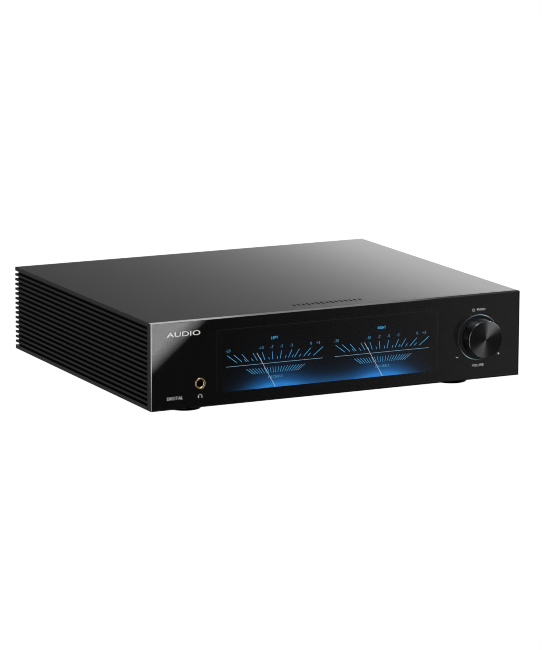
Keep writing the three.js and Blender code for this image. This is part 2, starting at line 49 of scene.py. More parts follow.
class Box:
    """A CAD node's box in millimetres."""

    def __init__(self, node):
        low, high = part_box(node)
        self.low = low / MM
        self.high = high / MM
        self.mid = (self.low + self.high) / 2
        self.size = self.high - self.low


FRONT_BOX = Box("front_panel")
COVER = Box("top_cover")
FRONT = FRONT_BOX.low.y
TOP = COVER.high.z
BOTTOM = FRONT_BOX.low.z
HALF = COVER.high.x
KNOB = Box("volume_knob")
RING = Box("knob_light_ring")
BUSHING = Box("headphone_bushing")
SCREEN = Box("display_module")
FACE = Box("rear_panel").high.y  # the rear panel's outer face
GLASS_DEPTH = Box("front_glass").size.y
JACK_HOLE = 6.2  # radius of the opening for the headphone bushing
SIDE_CUT, LONG_CUT = 0.6, 0.5  # the front panel's chamfers, at its ends and along its long edges
SIDE_RIM, LONG_RIM = 0.7, 0.55  # from the body's outline to the glass
LIP = 6.0  # depth of the polished lip along the panel's top
LAYER = 0.01  # thickness of a printed or lit layer


def up(height):
    """A height above the body's underside."""
    return BOTTOM + height


# ------------------------------------------------------------------ materials
def shader_of(material):
    """The material's one surface shader."""
    return material.node_tree.nodes["Principled BSDF"]


def finish(name, colour, roughness, metallic=0.0, **sockets):
    """A plain material. Further sockets are named with _ for each space."""
    material = bpy.data.materials.new(name)
    material.use_nodes = True
    shader = shader_of(material)
    shader.inputs["Base Color"].default_value = (*colour, 1)
    shader.inputs["Roughness"].default_value = roughness
    shader.inputs["Metallic"].default_value = metallic
    for socket, value in sockets.items():
        shader.inputs[socket.replace("_", " ")].default_value = value
    return material


def node(material, kind, **settings):
    """A new node, with its properties and unlinked sockets set."""
    made = material.node_tree.nodes.new(kind)
    for key, value in settings.items():
        if hasattr(made, key):
            setattr(made, key, value)
        else:
            made.inputs[key.replace("_", " ")].default_value = value
    return made


def link(material, source, target):
    """Joins an output socket to an input socket."""
    material.node_tree.links.new(source, target)


def calc(tree, operation, first, second=None):
    """One step of arithmetic on numbers or node outputs."""
    made = tree.nodes.new("ShaderNodeMath")
    made.operation = operation
    for socket, value in zip(made.inputs, (first, second)):
        if isinstance(value, (int, float)):
            socket.default_value = value
        elif value is not None:
            tree.links.new(value, socket)
    return made.outputs[0]


def between(tree, value, start, end):
    """0 at the start value and 1 at the end value, held beyond them."""
    made = tree.nodes.new("ShaderNodeMapRange")
    made.inputs["From Min"].default_value = start
    made.inputs["From Max"].default_value = end
    tree.links.new(value, made.inputs["Value"])
    return made.outputs["Result"]


def ramped(tree, value, stops):
    """A colour that follows a value through stops of (value, colour), from the lowest to the highest."""
    ramp = tree.nodes.new("ShaderNodeValToRGB")
    elements = ramp.color_ramp.elements
    elements[0].position, elements[0].color = stops[0][0], (*stops[0][1], 1)
    elements[1].position, elements[1].color = stops[-1][0], (*stops[-1][1], 1)
    for position, colour in stops[1:-1]:
        elements.new(position).color = (*colour, 1)
    tree.links.new(value, ramp.inputs["Fac"])
    return ramp.outputs["Color"]


def place_of(material):
    """The point on the piece, in metres, in the frame of the CAD."""
    return node(material, "ShaderNodeTexCoord").outputs["Object"]


def noise(material, scale, detail=3.0, stretch=None):
    """A pattern from 0 to 1 with about scale grains to the metre, squeezed along the axes by stretch."""
    texture = node(material, "ShaderNodeTexNoise", Scale=scale, Detail=detail)
    place = place_of(material)
    if stretch:
        mapping = node(material, "ShaderNodeMapping", Scale=stretch)
        link(material, place, mapping.inputs["Vector"])
        place = mapping.outputs["Vector"]
    link(material, place, texture.inputs["Vector"])
    return texture.outputs["Fac"]


def spread(material, value, low, high, target, span=(0.3, 0.7)):
    """Lets a pattern from 0 to 1 vary a socket between two values."""
    mapped = node(material, "ShaderNodeMapRange", From_Min=span[0], From_Max=span[1], To_Min=low,
                  To_Max=high)
    link(material, value, mapped.inputs["Value"])
    link(material, mapped.outputs["Result"], target)


def tint(material, value, first, second, span=(0.35, 0.65)):
    """Lets a pattern from 0 to 1 vary the colour between two colours."""
    mix = node(material, "ShaderNodeMix", data_type="RGBA")
    colour_a, colour_b, mixed = mix.inputs[6], mix.inputs[7], mix.outputs[2]
    colour_a.default_value = (*first, 1)
    colour_b.default_value = (*second, 1)
    spread(material, value, 0.0, 1.0, mix.inputs["Factor"], span)
    link(material, mixed, shader_of(material).inputs["Base Color"])


def bump(material, value, depth_mm):
    """Lets a pattern from 0 to 1 raise the surface's relief by a depth."""
    made = node(material, "ShaderNodeBump", Strength=1.0, Distance=depth_mm * MM)
    link(material, value, made.inputs["Height"])
    link(material, made.outputs["Normal"], shader_of(material).inputs["Normal"])


def grained(material, scale, depth_mm, roughness, colours=None, stretch=None):
    """A surface whose fine grain shows in its relief, its roughness and its colour."""
    fine = noise(material, scale, 4.0, stretch)
    bump(material, fine, depth_mm)
    spread(material, noise(material, scale / 4, 3.0, stretch), *roughness,
           shader_of(material).inputs["Roughness"])
    if colours:
        tint(material, noise(material, scale / 2, 2.0, stretch), *colours)
    return material


def anodised(name, grey, roughness, scale=5200, depth=0.0006):
    """Satin anodised aluminium."""
    dark = tuple(c * 0.94 for c in grey)
    pale = tuple(c * 1.06 for c in grey)
    return grained(finish(name, grey, roughness, 1.0), scale, depth,
                   (roughness - 0.01, roughness + 0.01), (dark, pale))


def brushed(name, colour, roughness, stretch, metallic=1.0):
    """Metal with a grain drawn out along an axis."""
    dark = tuple(c * 0.94 for c in colour)
    return grained(finish(name, colour, roughness, metallic), 500, 0.0006,
                   (roughness - 0.02, roughness + 0.04), (dark, colour), stretch)


def moulded(name, colour, roughness, depth=0.01):
    """Plastic, rubber or ink with a fine moulded grain."""
    pale = tuple(c * 1.2 + 0.001 for c in colour)
    return grained(finish(name, colour, roughness), 2600, depth,
                   (roughness - 0.06, roughness + 0.06), (colour, pale))


COVER_BLACK = anodised("cover_black", (0.045, 0.045, 0.046), 0.34)
HEATSINK_BLACK = anodised("heatsink_black", (0.035, 0.036, 0.038), 0.4, 3600)
FRAME_BLACK = anodised("frame_black", (0.04, 0.041, 0.044), 0.36)
BRIGHT_CUT = grained(finish("bright_cut", (0.4, 0.405, 0.415), 0.05, 1.0), 900, 0.0002, (0.04, 0.07))
FOOT_BLACK = anodised("foot_black", (0.03, 0.03, 0.032), 0.4)
GOLD = grained(finish("gold", (0.9, 0.72, 0.4), 0.16, 1.0), 1400, 0.0006, (0.12, 0.2))
NICKEL = grained(finish("nickel", (0.42, 0.415, 0.405), 0.46, 1.0), 500, 0.0003, (0.44, 0.48))
STEEL = brushed("steel", (0.5, 0.5, 0.51), 0.34, (1, 1, 8))
BLACK_PLASTIC = moulded("black_plastic", (0.014, 0.014, 0.015), 0.45)
SOCKET_BLACK = moulded("socket_black", (0.006, 0.006, 0.007), 0.55)
RUBBER = moulded("rubber", (0.012, 0.012, 0.012), 0.8, 0.03)
REAR_BLACK = grained(finish("rear_black", (0.018, 0.018, 0.019), 0.5), 1500, 0.02,
                     (0.42, 0.55), ((0.016, 0.016, 0.017), (0.023, 0.023, 0.024)))
BLACK_INK = grained(finish("black_ink", (0.0015, 0.0015, 0.0018), 0.4, Specular_IOR_Level=0.0), 600,
                    0.001, (0.35, 0.45))
# The legend ink has a painted glow: a little emission that makes the print read as white.
LEGEND_WITH_PAINTED_GLOW = grained(finish("legend_ink", (0.4, 0.4, 0.4), 0.6, Emission_Strength=0.6), 2600, 0.002,
                 (0.55, 0.65))
shader_of(LEGEND_WITH_PAINTED_GLOW).inputs["Emission Color"].default_value = (1, 1, 1, 1)
REAR_LEGEND = moulded("rear_legend", (0.62, 0.62, 0.62), 0.55, 0.004)
WHITE_PLASTIC = moulded("white_plastic", (0.7, 0.7, 0.68), 0.4)
RED_PLASTIC = moulded("red_plastic", (0.45, 0.02, 0.02), 0.4)
ORANGE_PLASTIC = moulded("orange_plastic", (0.62, 0.2, 0.02), 0.4)
BOARD = moulded("circuit_board", (0.01, 0.05, 0.025), 0.4)
WINDING = brushed("winding", (0.25, 0.12, 0.05), 0.4, (30, 1, 1), 0.3)
ENGRAVED = grained(finish("engraved", (0.004, 0.004, 0.005), 0.9, Specular_IOR_Level=0.0), 2600, 0.004,
                   (0.85, 0.95))


def turned_metal(name, grey, roughness, depth_mm, flat=False, **sockets):
    """Metal cut on a lathe, so highlights are drawn out. Flat faces get fine rings, the others a grain."""
    material = finish(name, grey, roughness, 1.0, Anisotropic_Rotation=0.25, **sockets)
    tangent = node(material, "ShaderNodeTangent", direction_type="RADIAL", axis="Y")
    link(material, tangent.outputs["Tangent"], shader_of(material).inputs["Tangent"])
    if flat:
        rings = node(material, "ShaderNodeTexWave", wave_type="RINGS", rings_direction="Y",
                     wave_profile="SIN", Scale=900.0, Distortion=0.0)
        centre = node(material, "ShaderNodeMapping", Location=(-KNOB.mid.x * MM, 0, -KNOB.mid.z * MM))
        link(material, place_of(material), centre.inputs["Vector"])
        link(material, centre.outputs["Vector"], rings.inputs["Vector"])
        bump(material, rings.outputs["Fac"], depth_mm)
    else:
        bump(material, noise(material, 1200), depth_mm)
    spread(material, noise(material, 700), roughness - 0.02, roughness + 0.02,
           shader_of(material).inputs["Roughness"])
    return material


def lit_edge():
    """The lip along the front panel's top: satin metal that catches light as a rounded edge does."""
    material = finish("top_edge", (0.3, 0.3, 0.305), 0.16, 1.0)
    lean = node(material, "ShaderNodeCombineXYZ", X=0.0, Y=-0.707, Z=0.707)
    relief = node(material, "ShaderNodeBump", Strength=1.0, Distance=0.001 * MM)
    link(material, noise(material, 900), relief.inputs["Height"])
    link(material, lean.outputs["Vector"], relief.inputs["Normal"])
    link(material, relief.outputs["Normal"], shader_of(material).inputs["Normal"])
    return material


def clear_glass():
    """Clear glass with very faint smudges."""
    material = finish("front_glass", (1, 1, 1), 0.0, IOR=1.5, Transmission_Weight=1.0)
    spread(material, noise(material, 30, 2.0), 0.0, 0.012, shader_of(material).inputs["Roughness"])
    return material


def lit(name, colour, strength, base=(0.002, 0.002, 0.003)):
    """A surface that glows in one colour."""
    material = finish(name, base, 0.5, Emission_Strength=strength, Specular_IOR_Level=0.0)
    shader_of(material).inputs["Emission Color"].default_value = (*colour, 1)
    return material


KNOB_FACE = turned_metal("knob_face", (0.02, 0.02, 0.0204), 0.34, 0.0008, True, Anisotropic=0.86)
KNOB_SIDE = turned_metal("knob_side", (0.11, 0.11, 0.113), 0.25, 0.0002, Anisotropic=0.93)
KNOB_EDGE = turned_metal("knob_edge", (0.13, 0.132, 0.137), 0.16, 0.0002)
TOP_EDGE = lit_edge()
GLASS = clear_glass()
SCREEN_DARK = grained(finish("screen_dark", (0.002, 0.002, 0.003), 0.3, Specular_IOR_Level=0.0), 900,
                      0.001, (0.25, 0.35))
SCALE_BLUE = lit("scale_blue", (0.09, 0.47, 0.9), 1.0)
FIGURE_BLUE = lit("figure_blue", (0.09, 0.32, 0.55), 1.0)
LINE_BLUE = lit("line_blue", (0.26, 0.45, 0.62), 1.0)
NEEDLE_WHITE = lit("needle_white", (0.75, 0.88, 1.0), 1.1)
BORDER_GREY = lit("border_grey", (0.009, 0.01, 0.012), 1.0)


# ------------------------------------------------------------------ shapes
def piece(name, mesh, materials, body="case", replaces=(), angle=35):
    """Adds a mesh, in metres, as a named piece that rides on a body."""
    made = bpy.data.objects.new(name, mesh)
    bpy.context.scene.collection.objects.link(made)
    numbers = [polygon.material_index for polygon in mesh.polygons]
    mesh.materials.clear()
    for material in materials if isinstance(materials, (list, tuple)) else [materials]:
        mesh.materials.append(material)
    for polygon, number in zip(mesh.polygons, numbers):
        polygon.material_index = number
    mesh.shade_smooth()
    mesh.set_sharp_from_angle(angle=math.radians(angle))
    flat = made.modifiers.new("flat_faces", "WEIGHTED_NORMAL")
    flat.keep_sharp = True
    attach(made, body)
    if replaces:
        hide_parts(*([replaces] if isinstance(replaces, str) else replaces))
    return made


def mesh_from(name, built):
    """Turns an edited mesh into a finished one with its faces turned outwards."""
    mesh = bpy.data.meshes.new(name)
    bmesh.ops.recalc_face_normals(built, faces=built.faces)
    built.to_mesh(mesh)
    built.free()
    return mesh


def fillet(points, radius, steps=3, closed=False):
    """Rounds the corners of an outline with short arcs."""
    rounded = []
    count = len(points)
    for index, point in enumerate(points):
        here = Vector(point)
        if not closed and index in (0, count - 1):
            rounded.append(tuple(here))
            continue
        before = Vector(points[index - 1]) - here
        after = Vector(points[(index + 1) % count]) - here
        reach = min(radius, before.length * 0.45, after.length * 0.45)
        start = here + before.normalized() * reach
        end = here + after.normalized() * reach
        for step in range(steps + 1):
            t = step / steps
            rounded.append(tuple(start * (1 - t) ** 2 + here * 2 * t * (1 - t) + end * t * t))
    return rounded


def turned(profile, at, axis="y", segments=96, materials_at=None):
    """A solid of revolution. The profile is [radius, distance along the axis], in millimetres, and
    starts and ends on the axis or closes on itself."""
    built = bmesh.new()
    loop = profile[0] == profile[-1]
    points = profile[:-1] if loop else profile
    rings = []
    for radius, along in points:
        ring = []
        for step in range(segments if radius > 1e-6 else 1):
            turn = 2 * math.pi * step / segments
            local = (radius * math.cos(turn), along, radius * math.sin(turn))
            if axis == "z":
                local = (local[0], local[2], local[1])
            ring.append(built.verts.new([(a + b) * MM for a, b in zip(local, at)]))
        rings.append(ring)
    pairs = list(zip(rings, rings[1:])) + ([(rings[-1], rings[0])] if loop else [])
    for number, (first, second) in enumerate(pairs):
        for step in range(segments):
            after = (step + 1) % segments
            corners = [
                first[step % len(first)], first[after % len(first)],
                second[after % len(second)], second[step % len(second)],
            ]
            face = built.faces.new(list(dict.fromkeys(corners)))
            if materials_at:
                face.material_index = materials_at(points[number], points[(number + 1) % len(points)])
    return mesh_from("turned", built)


def slab(low, high, bevel=0.4, steps=2):
    """A block with rounded edges, between two corners in millimetres."""
    built = bmesh.new()
    bmesh.ops.create_cube(built, size=1)
    for vertex in built.verts:
        for axis in range(3):
            side = high[axis] if vertex.co[axis] > 0 else low[axis]
            vertex.co[axis] = side * MM
    if bevel:
        bmesh.ops.bevel(built, geom=list(built.edges), offset=bevel * MM, segments=steps, profile=0.5,
                        affect="EDGES")
    return mesh_from("slab", built)


def rectangle(x, z, half_x, half_z, corner=0.0):
    """A rectangle's outline about its centre, with its corners rounded by the given size."""
    points = [(x - half_x, z - half_z), (x + half_x, z - half_z), (x + half_x, z + half_z),
              (x - half_x, z + half_z)]
    return fillet(points, corner, 5, closed=True) if corner else points


def circle(x, z, radius, steps=64):
    """A circle's outline."""
    turns = [2 * math.pi * step / steps for step in range(steps)]
    return [(x + radius * math.cos(t), z + radius * math.sin(t)) for t in turns]


def evaluated(data):
    """The mesh that a curve or a text gives. Nothing else is kept of it."""
    holder = bpy.data.objects.new(data.name, data)
    bpy.context.scene.collection.objects.link(holder)
    mesh = bpy.data.meshes.new_from_object(holder.evaluated_get(bpy.context.evaluated_depsgraph_get()))
    bpy.data.objects.remove(holder)
    return mesh


def plate(outlines, near, far, bevel=0.0):
    """A flat upright plate between two Y values: the first outline less the others, with softened
    edges. Outlines are in [x, z] millimetres."""
    curve = bpy.data.curves.new("plate", "CURVE")
    curve.dimensions = "2D"
    curve.fill_mode = "BOTH"
    curve.extrude = (far - near) / 2 * MM - bevel * MM
    curve.bevel_depth = bevel * MM
    curve.bevel_resolution = 1
    curve.offset = -bevel * MM
    for outline in outlines:
        spline = curve.splines.new("POLY")
        spline.points.add(len(outline) - 1)
        for point, (a, b) in zip(spline.points, outline):
            point.co = (a * MM, b * MM, 0, 1)
        spline.use_cyclic_u = True
    mesh = evaluated(curve)
    middle = (near + far) / 2 * MM
    mesh.transform(Matrix.Translation((0, middle, 0)) @ Matrix.Rotation(math.pi / 2, 4, "X"))
    built = bmesh.new()
    built.from_mesh(mesh)
    bmesh.ops.remove_doubles(built, verts=built.verts, dist=1e-6)
    bmesh.ops.dissolve_degenerate(built, edges=built.edges, dist=1e-7)
    return mesh_from("plate", built)


def joined(meshes):
    """Several closed meshes as one piece, each keeping its own material number."""
    built = bmesh.new()
    for mesh in meshes:
        built.from_mesh(mesh)
    mesh = bpy.data.meshes.new("joined")
    built.to_mesh(mesh)
    built.free()
    return mesh


def strokes(lines, width, near, far):
    """Flat bars along [x, z] lines, standing between two Y values."""
    built = bmesh.new()
    for start, end in lines:
        a, b = Vector(start), Vector(end)
        side = (b - a).normalized().orthogonal() * width / 2
        corners = [a - side, b - side, b + side, a + side]
        front = [built.verts.new((c.x * MM, near * MM, c.y * MM)) for c in corners]
        back = [built.verts.new((c.x * MM, far * MM, c.y * MM)) for c in corners]
        built.faces.new(front)
        built.faces.new(back)
        for one in range(4):
            two = (one + 1) % 4
            built.faces.new((front[one], front[two], back[two], back[one]))
    return mesh_from("strokes", built)


CAP_SHARE = 0.69  # the built-in typeface's cap height for a text size of 1


def words(text, cap, x, z, near, far, facing="front", heavy=0.0, width=None):
    """Lettering of a given cap height, lying between two Y values and facing the front or the rear.
    heavy thickens its strokes, and width stretches the whole to that width."""
    curve = bpy.data.curves.new("words", "FONT")
    curve.body = text
    curve.size = cap / CAP_SHARE * MM
    curve.align_x = "CENTER"
    curve.align_y = "CENTER"
    curve.extrude = abs(far - near) / 2 * MM
    curve.offset = heavy * MM
    curve.resolution_u = 3
    mesh = evaluated(curve)
    stretch = 1.0
    if width:
        reach = [vertex.co.x for vertex in mesh.vertices]
        stretch = width * MM / (max(reach) - min(reach))
    turn = Matrix.Rotation(math.pi / 2, 4, "X")
    if facing == "rear":
        turn = Matrix.Rotation(math.pi, 4, "Z") @ turn
    centre = Matrix.Translation((x * MM, (near + far) / 2 * MM, z * MM))
    mesh.transform(centre @ turn @ Matrix.Diagonal((stretch, 1, 1, 1)))
    return mesh


def cut_from(mesh, cutter):
    """The first solid less the second."""
    holders = [bpy.data.objects.new("shape", shape) for shape in (mesh, cutter)]
    for holder in holders:
        bpy.context.scene.collection.objects.link(holder)
    cut = holders[0].modifiers.new("cut", "BOOLEAN")
    cut.operation = "DIFFERENCE"
    cut.solver = "EXACT"
    cut.object = holders[1]
    made = bpy.data.meshes.new_from_object(holders[0].evaluated_get(bpy.context.evaluated_depsgraph_get()))
    for holder in holders:
        bpy.data.objects.remove(holder)
    return made


# ------------------------------------------------------------------ case
ENGRAVING = 0.35  # depth of the motif in the cover


def bevelled_cover():
    """The top cover with its engraving, whose floor gets the second material."""
    mesh = cut_from(slab(COVER.low, COVER.high, 0.4, 3), engraved_motif(TOP - ENGRAVING, TOP + 1))
    floor = (TOP - ENGRAVING) * MM
    for polygon in mesh.polygons:
        inside = all(abs(mesh.vertices[v].co.z - floor) < 1e-5 for v in polygon.vertices)
        polygon.material_index = int(inside)
    return mesh


PANEL_FINISHES = [FRAME_BLACK, BRIGHT_CUT, TOP_EDGE, COVER_BLACK]
FRAME, END_CHAMFER, TOP_LIP, TOP_STRIP = range(4)


def framed_panel():
    """The front panel: narrow chamfers, a pocket for the glass and openings behind it. Its faces are
    numbered for PANEL_FINISHES."""
    built = bmesh.new()
    built.from_mesh(slab(FRONT_BOX.low, FRONT_BOX.high, 0))

    def bisect(point, normal, cut_off):
        everything = list(built.verts) + list(built.edges) + list(built.faces)
        return bmesh.ops.bisect_plane(built, geom=everything, dist=1e-7, plane_co=Vector(point) * MM,
                                      plane_no=Vector(normal).normalized(), clear_outer=cut_off)

    cuts = [((side * (HALF - SIDE_CUT), FRONT, 0), (side, -1, 0)) for side in (-1, 1)]
    cuts += [((0, FRONT, BOTTOM + LONG_CUT), (0, -1, -1)), ((0, FRONT, TOP - LONG_CUT), (0, -1, 1))]
    for point, normal in cuts:
        cut = bisect(point, normal, True)
        edges = [item for item in cut["geom_cut"] if isinstance(item, bmesh.types.BMEdge)]
        bmesh.ops.contextual_create(built, geom=edges)
    bisect((0, FRONT + LIP, 0), (0, 1, 0), False)
    mesh = mesh_from("panel", built)
    behind = FRONT_BOX.high.y + 1
    pocket = FRONT + GLASS_DEPTH + 0.05
    glass = front_outline(-0.04, 0)
    near_corner, far_corner = (glass[0][0], FRONT - 1, glass[0][1]), (glass[2][0], pocket, glass[2][1])
    mesh = cut_from(mesh, slab(near_corner, far_corner, 0))
    low = (WINDOW["x"] - WINDOW["half_x"], pocket - 1, up(WINDOW["z"] - WINDOW["half_z"]))
    high = (WINDOW["x"] + WINDOW["half_x"], behind, up(WINDOW["z"] + WINDOW["half_z"]))
    mesh = cut_from(mesh, slab(low, high, 0))
    for box, radius in ((KNOB, 7.4), (BUSHING, JACK_HOLE)):
        drill = [(0, pocket - 1), (radius, pocket - 1), (radius, behind), (0, behind)]
        mesh = cut_from(mesh, turned(drill, (box.mid.x, 0, box.mid.z)))
    for polygon in mesh.polygons:
        normal, place = polygon.normal, polygon.center / MM
        if abs(normal.x) > 0.3 and abs(normal.y) > 0.3:
            polygon.material_index = END_CHAMFER
        elif normal.z > 0.3 and place.z > TOP - 1:
            polygon.material_index = TOP_LIP if place.y < FRONT + LIP else TOP_STRIP
        else:
            polygon.material_index = FRAME
    return mesh


def engraved_motif(low, high):
    """A row of bars like a sound wave, cut into the cover near its front edge."""
    count, pitch, width = 15, 5.5, 2.5
    middle_y = COVER.low.y + 20.8
    built = []
    for bar in range(count):
        place = (bar - (count - 1) / 2) * pitch
        swell = math.exp(-((place / 30) ** 2))
        half = 3.4 + 3.2 * swell * abs(math.cos(bar * 1.15))
        built.append(slab((place - width / 2, middle_y - half, low),
                          (place + width / 2, middle_y + half, high), 0))
    return joined(built)


def fins(side):
    """One heatsink's comb section with softened fin tips, run from front to rear."""
    box = Box("right_heatsink" if side > 0 else "left_heatsink")
    outer = max(abs(box.low.x), abs(box.high.x))
    inner = min(abs(box.low.x), abs(box.high.x))
    depth, pitch, groove, grooves = 3.8, 5.3, 2.9, 16
    root = outer - depth
    outline = [(inner, box.low.z), (root, box.low.z)]
    for number in range(grooves - 1):
        middle = box.mid.z + (number + 0.5 - (grooves - 1) / 2) * pitch
        half = (pitch - groove) / 2
        fin = [(root, middle - half), (outer, middle - half), (outer, middle + half), (root, middle + half)]
        outline += fillet(fin, 0.35, 3)
    outline += [(root, box.high.z), (inner, box.high.z)]
    built = bmesh.new()
    ends = []
    for y in (box.low.y, box.high.y):
        ends.append([built.verts.new((side * x * MM, y * MM, z * MM)) for x, z in outline])
    for end in ends:
        built.faces.new(end)
    for one in range(len(outline)):
        two = (one + 1) % len(outline)
        built.faces.new((ends[0][one], ends[0][two], ends[1][two], ends[1][one]))
    return mesh_from("fins", built)


def paint(name, material):
    """Gives a CAD node its material."""
    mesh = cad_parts[name].data
    mesh.materials.clear()
    mesh.materials.append(material)
    for polygon in mesh.polygons:
        polygon.material_index = 0


def make_case():
    piece("top_cover_plate", bevelled_cover(), [COVER_BLACK, ENGRAVED],
          replaces="top_cover")
    for side, name in ((-1, "left"), (1, "right")):
        piece(f"{name}_heatsink_fins", fins(side), HEATSINK_BLACK,
              replaces=f"{name}_heatsink")
    paint("bottom_plate", COVER_BLACK)
    piece("front_panel_frame", framed_panel(), PANEL_FINISHES, replaces="front_panel",
          angle=20)


# ------------------------------------------------------------------ front
# The clear window in the black print, and the lit part of the display behind it. Heights are above
# the body's underside.
WINDOW = {"x": -12.3, "z": 45.5, "half_x": 128.7, "half_z": 33.0}
ACTIVE = {"left": -134.4, "right": 109.8, "low": 13.2, "high": 74.0}
METERS = (("left", -74.4, "LEFT", 8.0), ("right", 50.4, "RIGHT", 9.6))  # name, middle, title and its width

def front_outline(gap=0.0, corner=0.4):
    """The glass's outline, drawn in by a gap."""
    middle = (BOTTOM + TOP) / 2
    return rectangle(0, middle, HALF - SIDE_RIM - gap, (TOP - BOTTOM) / 2 - LONG_RIM - gap, corner)


def make_front():
    knob_hole = circle(KNOB.mid.x, KNOB.mid.z, RING.size.x / 2 + 0.1, 96)
    jack_hole = circle(BUSHING.mid.x, BUSHING.mid.z, JACK_HOLE, 64)
    sheet = plate([front_outline(), knob_hole, jack_hole], FRONT, FRONT + GLASS_DEPTH, 0.2)
    piece("front_glass_sheet", sheet, GLASS, replaces="front_glass", angle=12)
    window = rectangle(WINDOW["x"], up(WINDOW["z"]), WINDOW["half_x"], WINDOW["half_z"], 1.2)
    near = FRONT + GLASS_DEPTH + 0.02
    mask = plate([front_outline(), knob_hole, jack_hole, window], near, near + 0.04)
    piece("black_print", mask, BLACK_INK, angle=12)
    paint("display_module", SCREEN_DARK)
    paint("display_bracket", STEEL)
    left, right = WINDOW["x"] - WINDOW["half_x"], WINDOW["x"] + WINDOW["half_x"]
    low, high = up(12.9), up(78.1)
    width = 0.6
    border = [((left + width / 2, low), (left + width / 2, high)),
              ((right - width / 2, low), (right - width / 2, high)), ((left, high), (right, high))]
    piece("display_border", strokes(border, width, SCREEN.low.y - 2 * LAYER, SCREEN.low.y - LAYER),
          BORDER_GREY, angle=12)
    make_glow()
    for name, centre, title, width in METERS:
        make_meter(name, centre, title, width)
    make_legends()


# The glow's colour by its strength.
SCREEN_GLOW = ((0.0, (0.0, 0.0, 0.0)), (0.12, (0.002, 0.011, 0.028)), (0.5, (0.008, 0.075, 0.22)),
               (1.0, (0.02, 0.2, 0.58)))


def make_glow():
    """The lit lower edge of the display: two pools of blue light that fade upwards and outwards."""
    material = finish("screen_glow", (0.001, 0.001, 0.0015), 0.5, Emission_Strength=1.0,
                      Specular_IOR_Level=0.0)
    split = node(material, "ShaderNodeSeparateXYZ")
    link(material, place_of(material), split.inputs["Vector"])

    def maths(operation, first, second=None):
        return calc(material.node_tree, operation, first, second)

    def lobe(centre, width):
        """A soft hump along X."""
        away = maths("DIVIDE", maths("SUBTRACT", split.outputs["X"], centre * MM), width * MM)
        return maths("EXPONENT", maths("MULTIPLY", maths("MULTIPLY", away, away), -1.0))

    def sum_of(values):
        total = values[0]
        for value in values[1:]:
            total = maths("ADD", total, value)
        return total

    height = maths("SUBTRACT", split.outputs["Z"], up(ACTIVE["low"]) * MM)

    def fading(pools, reach):
        """Light from below that fades upwards within about a reach in millimetres."""
        return maths("MULTIPLY", sum_of(pools), maths("EXPONENT", maths("DIVIDE", height, -reach * MM)))

    middles = [centre + 2 for _, centre, _, _ in METERS]
    between_them = maths("MULTIPLY", lobe(-12, 64), 0.46)
    near_light = fading([lobe(middle, 29) for middle in middles] + [between_them], 6.5)
    halo = fading([maths("MULTIPLY", lobe(middle, 30), 0.34) for middle in middles], 13)
    colour = ramped(material.node_tree, maths("ADD", near_light, halo), SCREEN_GLOW)
    link(material, colour, shader_of(material).inputs["Emission Color"])
    near = SCREEN.low.y - 2 * LAYER
    mesh = slab((ACTIVE["left"], near, up(ACTIVE["low"])),
                (ACTIVE["right"], near + LAYER, up(ACTIVE["high"])), 0)
    piece("screen_image", mesh, material)


# Each meter's marks and figures, by their distance from its middle: the long marks at their outer
# ends, the short ones at their inner ends.
LONG_MARKS = (-54.6, -46.9, -37.9, -25.1, -14.5, -3.3, 7.5, 19.4, 28.1, 41.3, 55.5)
SHORT_MARKS = (-32.7, -24.9, -15.6, -6.6, 2.9, 11.9, 19.6, 27.8, 38.0)
FIGURES = (("-20", -53.6), ("-10", -15.9), ("-7", -3.6), ("-5", 7.6), ("-3", 18.8), ("0", 41.6),
           ("+3", 49.8))
FAN_MARKS, FAN_LEFT, FAN_RIGHT = 21, -32.6, 34.7
# Heights above the body's underside.
PIVOT, INNER, SHORT_END, OUTER = 10.0, 42.7, 45.4, 50.8
FAN_LOW, FAN_HIGH = 28.7, 34.6
UNIT_HEIGHT, LINE_HEIGHT, FIGURE_HEIGHT, TITLE_HEIGHT = 24.1, 38.9, 55.4, 64.9
NEEDLE_PIVOT, NEEDLE_FOOT, NEEDLE_TILT = 12.4, 13.5, 29.8  # the tilt is in degrees left of upright


def make_meter(name, centre, title, width):
    """One level meter: its scale, figures, line, fan of marks, title and needle, each lit by itself."""
    def ray(reach, height, low, high):
        """The stretch between two heights of a line from the pivot that is reach away at height."""
        slope = reach / (height - PIVOT)
        return [(centre + slope * (z - PIVOT), up(z)) for z in (low, high)]

    near = SCREEN.low.y - 3.2 * LAYER
    far = near + LAYER
    long_marks = [ray(reach, OUTER, INNER, OUTER) for reach in LONG_MARKS]
    short_marks = [ray(reach, INNER, INNER, SHORT_END) for reach in SHORT_MARKS]
    fan = [ray(FAN_LEFT + (FAN_RIGHT - FAN_LEFT) * mark / (FAN_MARKS - 1), FAN_HIGH, FAN_LOW, FAN_HIGH)
           for mark in range(FAN_MARKS)]
    piece(f"{name}_meter_scale", strokes(long_marks + short_marks, 0.42, near, far), SCALE_BLUE)
    piece(f"{name}_meter_fan", strokes(fan, 0.34, near, far), SCALE_BLUE)
    line = [((centre - 55.6, up(LINE_HEIGHT)), (centre + 55.2, up(LINE_HEIGHT)))]
    piece(f"{name}_meter_line", strokes(line, 0.32, near, far), LINE_BLUE)
    figures = [words(text, 3.0, centre + reach, up(FIGURE_HEIGHT), near, far, heavy=-0.05)
               for text, reach in FIGURES]
    unit = words("DECIBELS", 2.5, centre + 0.6, up(UNIT_HEIGHT), near, far, heavy=-0.03, width=16.4)
    piece(f"{name}_meter_figures", joined(figures + [unit]), FIGURE_BLUE)
    lettering = words(title, 2.8, centre - 0.6, up(TITLE_HEIGHT), near, far, width=width)
    piece(f"{name}_meter_title", lettering, SCALE_BLUE)
    lean = math.tan(math.radians(NEEDLE_TILT))
    needle = [((centre + 1.2 - lean * (z - NEEDLE_PIVOT), up(z))) for z in (NEEDLE_FOOT, OUTER)]
    piece(f"{name}_meter_needle", strokes([needle], 0.27, near - 2 * LAYER, near - LAYER), NEEDLE_WHITE)


